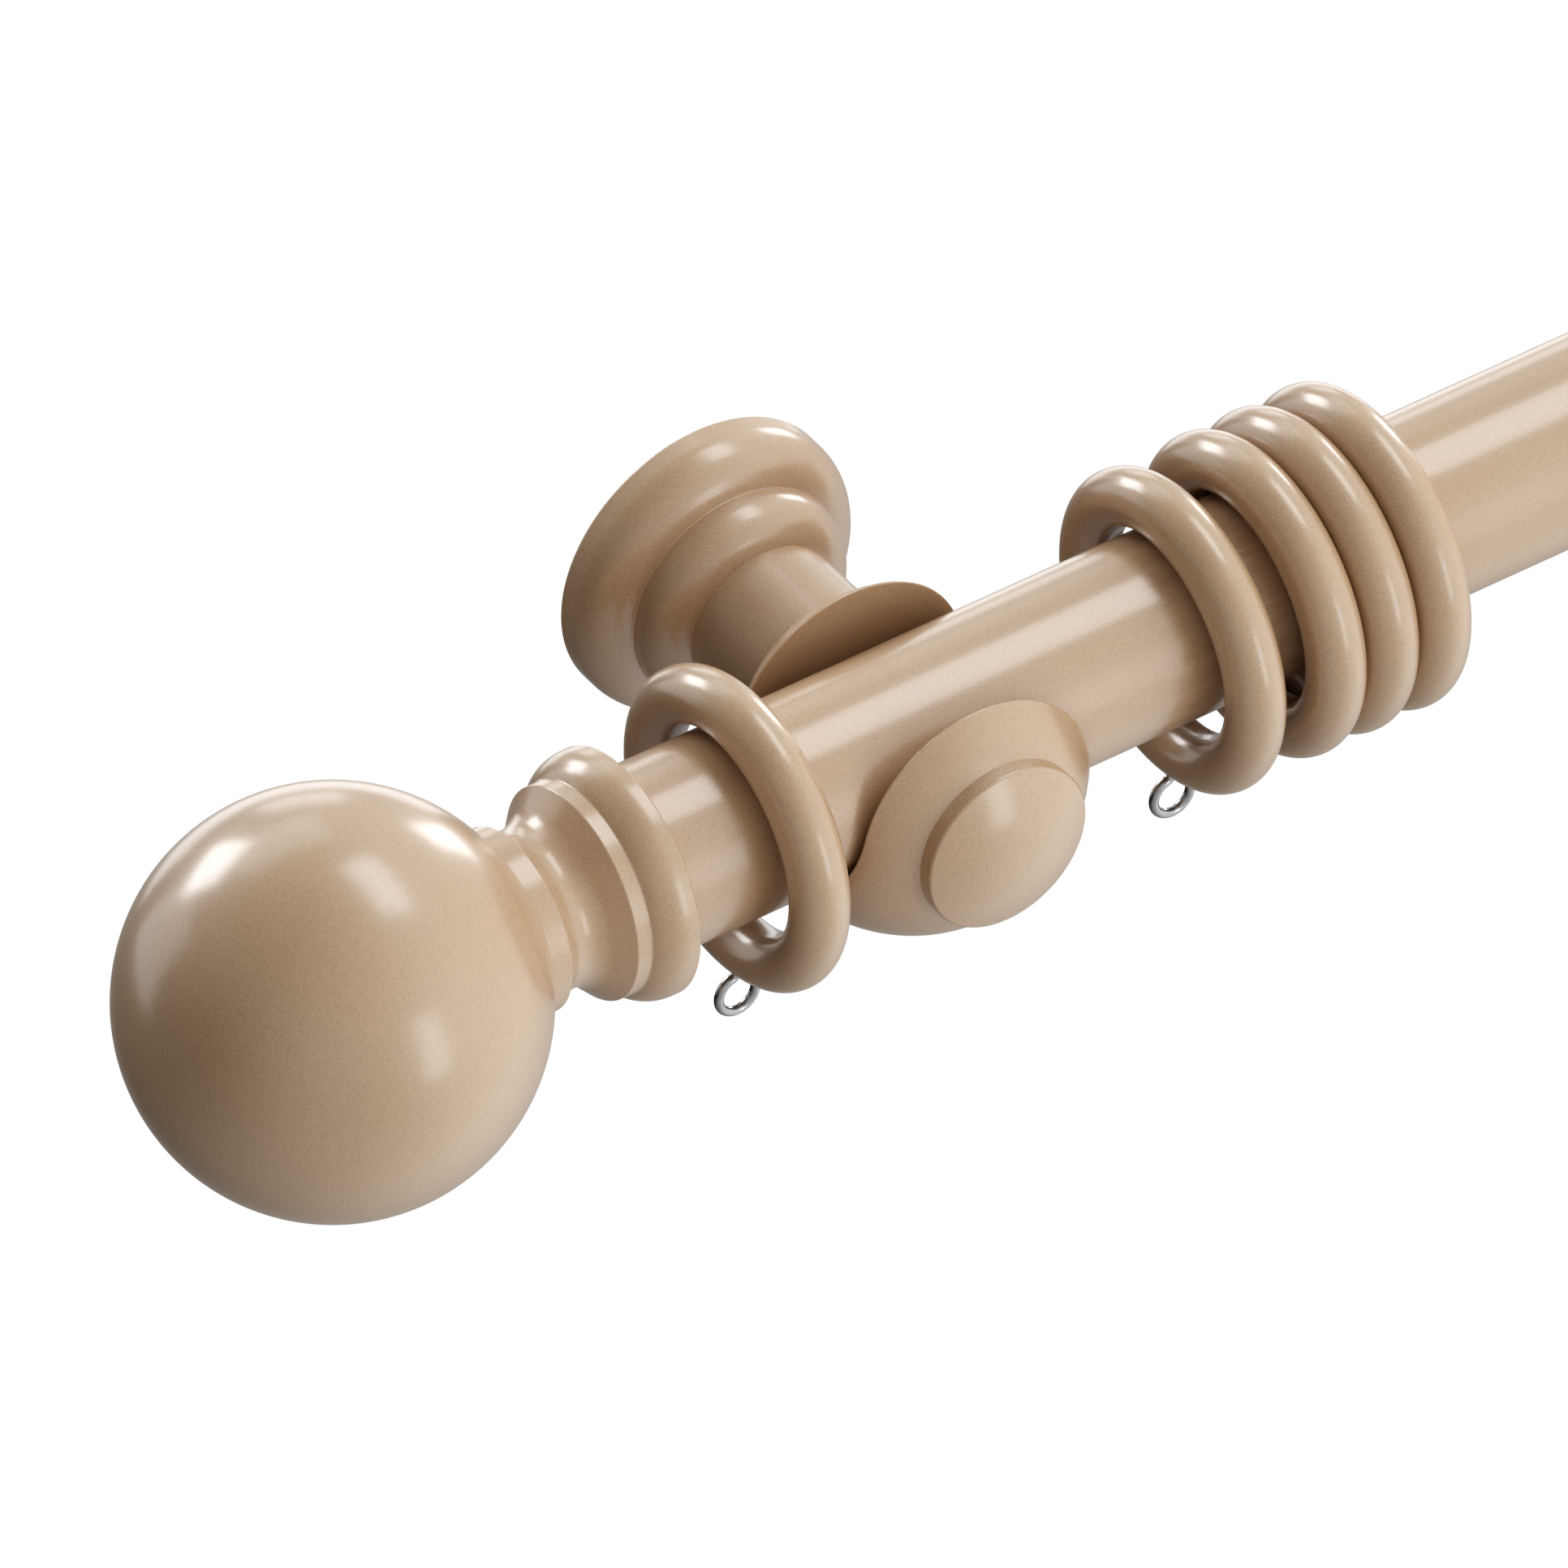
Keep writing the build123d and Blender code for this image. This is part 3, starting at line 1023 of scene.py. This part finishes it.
@dataclass
class BracketArm(BracketPiece):
    """A bracket arm: stem, ball-shaped cup with its U channel, and domed button."""

    tip_reach: float = 0.05
    weld_digits: int = 7

    def build(self, shop: Workshop) -> None:
        """Lay the frame's own arm again, welded and even at the dome's tip.

        Args:
            shop: The tools and finishes.
        """
        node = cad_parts[f"bracket_arm_{self.end.word}"]
        source = node.data
        front = min(vertex.co.y for vertex in source.vertices)
        tip = self.place(front / MM)
        places: dict[tuple[float, ...], int] = {}
        spots: list[int] = []
        for vertex in source.vertices:
            spot = tuple(round(part, self.weld_digits) for part in vertex.co)
            spots.append(places.setdefault(spot, len(places)))
        faces: list[tuple[int, ...]] = []
        normals: list[Vector] = []
        for face in source.polygons:
            corners = tuple(spots[index] for index in face.vertices)
            if len(set(corners)) < 3:
                continue
            faces.append(corners)
            for index, loop in zip(face.vertices, face.loop_indices):
                at_tip = (source.vertices[index].co - tip).length < self.tip_reach * MM
                own = Vector(source.corner_normals[loop].vector)
                normals.append(-INTO_WALL if at_tip else own)
        mesh = bpy.data.meshes.new(f"turned_arm_{self.end.word}")
        mesh.from_pydata(list(places), [], faces)
        mesh.shade_smooth()
        mesh.normals_split_custom_set(normals)
        mesh.materials.append(shop.wood)
        piece = bpy.data.objects.new(mesh.name, mesh)
        bpy.context.scene.collection.objects.link(piece)
        hand_over(piece, "rod", Slot.WOOD, node.name)


@dataclass
class LockScrew(BracketPiece):
    """The round-headed screw under a cup, with a cross recess in its head."""

    seat: float = -19.0
    head: float = 3.5
    head_height: float = 2.4
    shank: float = 1.75
    top: float = -0.5
    point: float = 3.0
    slot_length: float = 4.4
    slot_width: float = 0.8
    slot_depth: float = 1.3
    head_steps: int = 24
    segments: int = 72

    def profile(self) -> Profile:
        """The outline from the head's crown, over its rim, along the shank to the point."""
        crown = (self.seat - self.head_height, 0.0)
        rim = (self.seat, self.head)
        rise = (self.head**2 + self.head_height**2) / (2 * self.head_height)
        made = Profile().to(crown).arc((crown[0] + rise, 0.0), rim, self.head_steps)
        made.to((self.seat, self.shank), (self.top - self.point, self.shank))
        return made.to((self.top, 0.0))

    def build(self, shop: Workshop, pole: Pole) -> None:
        """Turn the screw and cut the recess into its head.

        Args:
            shop: The tools and finishes.
            pole: The pole that the screw holds.
        """
        origin = self.place(-pole.wall_gap)
        name = f"slotted_lock_screw_{self.end.word}"
        turned = shop.lathe.turn(name, self.profile(), origin, UP, shop.zinc, self.segments)
        sizes = (self.slot_length, self.slot_width, self.slot_depth)
        values = {label: size * MM for label, size in zip(HeadSlotter.SIZES, sizes)}
        crown = self.place(-pole.wall_gap, self.seat - self.head_height)
        values.update(Centre=crown, Finish=shop.zinc)
        piece = shop.slotter.tree.run(name, as_blank(turned), values)
        hand_over(piece, "rod", Slot.ZINC, f"lock_screw_{self.end.word}")


@dataclass
class BracketEnd:
    """One bracket with its rose, bolt and the screws that hold the rod together."""

    end: End

    def build(self, shop: Workshop, pole: Pole) -> None:
        """Build the bracket and finish the screw that stays hidden in the finial.

        Args:
            shop: The tools and finishes.
            pole: The pole that the bracket carries.
        """
        BracketArm(self.end).build(shop)
        WallRose(self.end).build(shop)
        HangerBolt(self.end).build(shop)
        LockScrew(self.end).build(shop, pole)
        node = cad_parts[f"finial_screw_{self.end.word}"]
        node.data.materials.clear()
        node.data.materials.append(shop.zinc)
        log.info("%s keeps its form and takes %s", node.name, shop.zinc.name)


@dataclass
class Rod:
    """The whole rod: pole, finials, brackets and rings."""

    bracket_offset: float = 49.0
    outer_ring: float = 19.1
    inner_ring: float = 44.7
    ring_tube: float = 8.7
    loose_gap: float = 5.1
    stack_gap: float = 0.3

    def ring_places(self, pole: Pole) -> list[float]:
        """Where the rings of one end rest.

        Args:
            pole: The pole that they hang on.

        Returns:
            Their distances from the middle of the pole, outermost first.
        """
        half = pole.length / 2
        second = half - self.bracket_offset - self.inner_ring
        third = second - self.ring_tube - self.loose_gap
        pitch = self.ring_tube + self.stack_gap
        return [half - self.outer_ring, second, third, third - pitch, third - 2 * pitch]

    def build(self, shop: Workshop) -> None:
        """Build every piece of the rod.

        Args:
            shop: The tools and finishes.
        """
        pole = Pole()
        pole.build(shop)
        for end in End:
            Finial(end).build(shop, pole)
            BracketEnd(end).build(shop, pole)
            for number, place in enumerate(self.ring_places(pole), start=1):
                CurtainRing(end, number, end.value * place).build(shop, pole)


def stand(
    name: str, data: bpy.types.ID, aim: Vector, back: Vector, distance: float
) -> bpy.types.Object:
    """Stand a light or a camera away from its aim and turn it to the aim.

    Args:
        name: The object's name.
        data: The light or the camera.
        aim: The point that it looks at.
        back: Direction from the aim to it.
        distance: How far away it stands, in metres.

    Returns:
        The object.
    """
    made = bpy.data.objects.new(name, data)
    made.location = aim + back * distance
    made.rotation_mode = "QUATERNION"
    made.rotation_quaternion = (-back).to_track_quat("-Z", "Y")
    bpy.context.scene.collection.objects.link(made)
    return made


@dataclass(frozen=True)
class SoftBox:
    """One soft light: where it stands in the sky, and its width and height in degrees."""

    name: str
    direction: Way
    width: float
    height: float
    glow: float
    distance: float = 5.0

    def hang(self, aim: Vector) -> None:
        """Hang the light and turn it to the aim.

        Args:
            aim: The point that it lights.
        """
        lamp = bpy.data.lights.new(self.name, "AREA")
        lamp.shape = "RECTANGLE"
        lamp.size = 2 * self.distance * tan(radians(self.width / 2))
        lamp.size_y = 2 * self.distance * tan(radians(self.height / 2))
        lamp.energy = self.glow * pi * lamp.size * lamp.size_y
        light = stand(self.name, lamp, aim, Vector(self.direction).normalized(), self.distance)
        light.visible_camera = False


@dataclass
class Studio:
    """The pale floor, the soft lights and the camera."""

    aim: Vector = field(default_factory=lambda: Vector((-0.48653, -0.0730, 0.0266)))
    azimuth: float = -34.8
    elevation: float = 40.8
    frame_width: float = 0.2199
    lens: float = 1600.0
    sensor: float = 36.0
    depth: float = -0.035
    near: float = 0.1
    far: float = 200.0
    floor_height: float = -0.6
    floor_reach: float = 60.0
    contrast: float = 1.4
    shoulder: float = 0.8
    grade_levels: tuple[float, ...] = (0.02, 0.05, 0.1, 0.17, 0.25, 0.35, 0.5, 0.7, 0.85)
    ambient: float = 0.055
    sky_fade: Point = (-0.3, 0.8)
    backdrop_shade: float = 0.45
    backdrop_fade: Point = (0.4, 0.95)
    box_aim: Vector = field(default_factory=lambda: Vector((-0.3, -0.05, 0.0)))
    sky: tuple[tuple[Way, float], ...] = (
        ((1.0, 0.0, 0.0), 0.70),
        ((0.0, -0.1, 1.0), 0.27),
        ((0.25, -0.97, 0.0), 0.31),
        ((0.1, -0.75, -0.65), 0.32),
    )
    boxes: tuple[SoftBox, ...] = (
        SoftBox("back_box", (-0.15, 0.93, 0.33), 21, 18, 7.2),
        SoftBox("back_left_box", (-0.46, 0.88, 0.02), 32, 36, 1.0),
        SoftBox("back_right_box", (0.43, 0.89, 0.10), 18, 14, 1.6),
        SoftBox("back_low_box", (0.40, 0.87, -0.28), 44, 16, 1.4),
        SoftBox("back_high_box", (0.10, 0.80, 0.60), 36, 24, 1.0),
        SoftBox("side_box", (0.86, 0.49, 0.14), 12, 20, 5.8),
        SoftBox("top_box", (0.42, 0.05, 0.91), 34, 18, 3.2),
        SoftBox("front_box", (0.25, -0.94, 0.08), 14, 32, 2.1),
    )

    def build(self) -> None:
        """Set the whole stage."""
        self._floor()
        self._sky()
        for box in self.boxes:
            box.hang(self.box_aim)
        self._camera()
        self._grade()

    def _grade(self) -> None:
        """Give the picture a print's tone curve: deeper shadows and a soft shoulder."""
        view = bpy.context.scene.view_settings
        view.view_transform = "Standard"
        view.use_curve_mapping = True
        *_, combined = view.curve_mapping.curves
        for level in self.grade_levels:
            deep = level**self.contrast
            combined.points.new(level, (1 + self.shoulder) * deep / (1 + self.shoulder * deep))
        view.curve_mapping.update()

    def _floor(self) -> None:
        """Lay a plain pale floor that only the camera sees."""
        mesh = bpy.data.meshes.new("floor")
        half = self.floor_reach
        sides = ((-half, -half), (half, -half), (half, half), (-half, half))
        mesh.from_pydata([(x, y, self.floor_height) for x, y in sides], [], [(0, 1, 2, 3)])
        mesh.materials.append(Paper("pale_paper").material())
        floor = bpy.data.objects.new("floor", mesh)
        bpy.context.scene.collection.objects.link(floor)
        for ray in ("diffuse", "glossy", "transmission", "shadow"):
            setattr(floor, f"visible_{ray}", False)

    def _sky(self) -> None:
        """Light the room softly from its sides, and show the camera plain white."""
        world = bpy.data.worlds.new("studio")
        world.use_nodes = True
        bpy.context.scene.world = world
        graph = Graph(world.node_tree)
        world.node_tree.nodes.clear()
        way = graph.node("ShaderNodeTexCoord", out="Generated")
        bright: Value = self.ambient
        for side, strength in self.sky:
            bright = bright + self._lobe(graph, way, Vector(side), self.sky_fade, strength)
        away, shade = -self._back(), self.backdrop_shade
        bright = bright * (1 - self._lobe(graph, way, away, self.backdrop_fade, shade))
        room = graph.node("ShaderNodeBackground", {"Color": WHITE, "Strength": bright})
        white = graph.node("ShaderNodeBackground", {"Color": WHITE, "Strength": 1.0})
        seen = graph.node("ShaderNodeLightPath", out="Is Camera Ray")
        mixed = graph.node("ShaderNodeMixShader", {0: seen, 1: room, 2: white})
        graph.node("ShaderNodeOutputWorld", {"Surface": mixed})

    @staticmethod
    def _lobe(graph: Graph, way: Sock, side: Vector, fade: Point, strength: float) -> Sock:
        """The soft glow of one side of the sky.

        Args:
            graph: The world's node tree.
            way: The direction that is looked at.
            side: The direction in which the glow is fullest.
            fade: Cosines from the side at which the glow starts and is full.
            strength: The full glow.

        Returns:
            The glow in that direction.
        """
        facing = graph.vector("DOT_PRODUCT", way, side, out=1)
        sockets = {"Value": facing, 1: fade[0], 2: fade[1], 3: 0.0, 4: strength}
        return graph.node("ShaderNodeMapRange", sockets, {"interpolation_type": "SMOOTHSTEP"})

    def _back(self) -> Vector:
        """Direction from the aim to the camera."""
        turn, lift = radians(self.azimuth), radians(self.elevation)
        return Vector((sin(turn) * cos(lift), -cos(turn) * cos(lift), sin(lift)))

    def _camera(self) -> None:
        """Stand a long-lens camera at the photo's angle."""
        data = bpy.data.cameras.new("camera")
        data.lens, data.sensor_width = self.lens, self.sensor
        data.clip_start, data.clip_end = self.near, self.far
        distance = self.frame_width * self.lens / self.sensor + self.depth
        camera = stand("camera", data, self.aim, self._back(), distance)
        bpy.context.scene.camera = camera


def main() -> None:
    """Build the rod and its studio."""
    logging.basicConfig(level=logging.INFO, format="%(message)s")
    Studio().build()
    Rod().build(Workshop.open())


if __name__ == "__main__":
    main()
